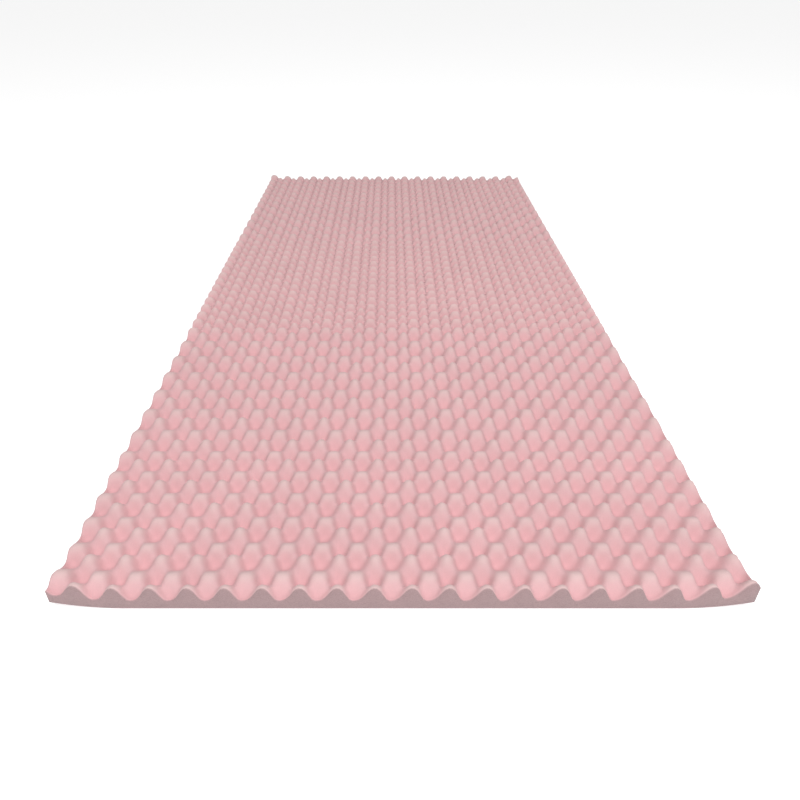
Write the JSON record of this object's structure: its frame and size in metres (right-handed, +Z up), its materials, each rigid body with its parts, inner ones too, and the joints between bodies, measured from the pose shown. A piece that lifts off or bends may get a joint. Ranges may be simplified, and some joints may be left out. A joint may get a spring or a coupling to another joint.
{
  "type": "mattress topper",
  "caption": "Flat slab of convoluted foam with zones of rounded bumps on top, laid on a bed to soften it.",
  "frame": {"origin": "middle of the underside, on the surface that the topper lies on", "axes": "+Y along the length, from the near end to the far end; +X across the width; +Z up through the bumps"},
  "size_m": [0.9, 1.9, 0.0495],
  "materials": {
    "foam": "matt open-cell polyurethane foam, dusty pink, bare and uncovered"
  },
  "bodies": {
    "root": {"foam_slab": "foam"}
  },
  "joints": []
}
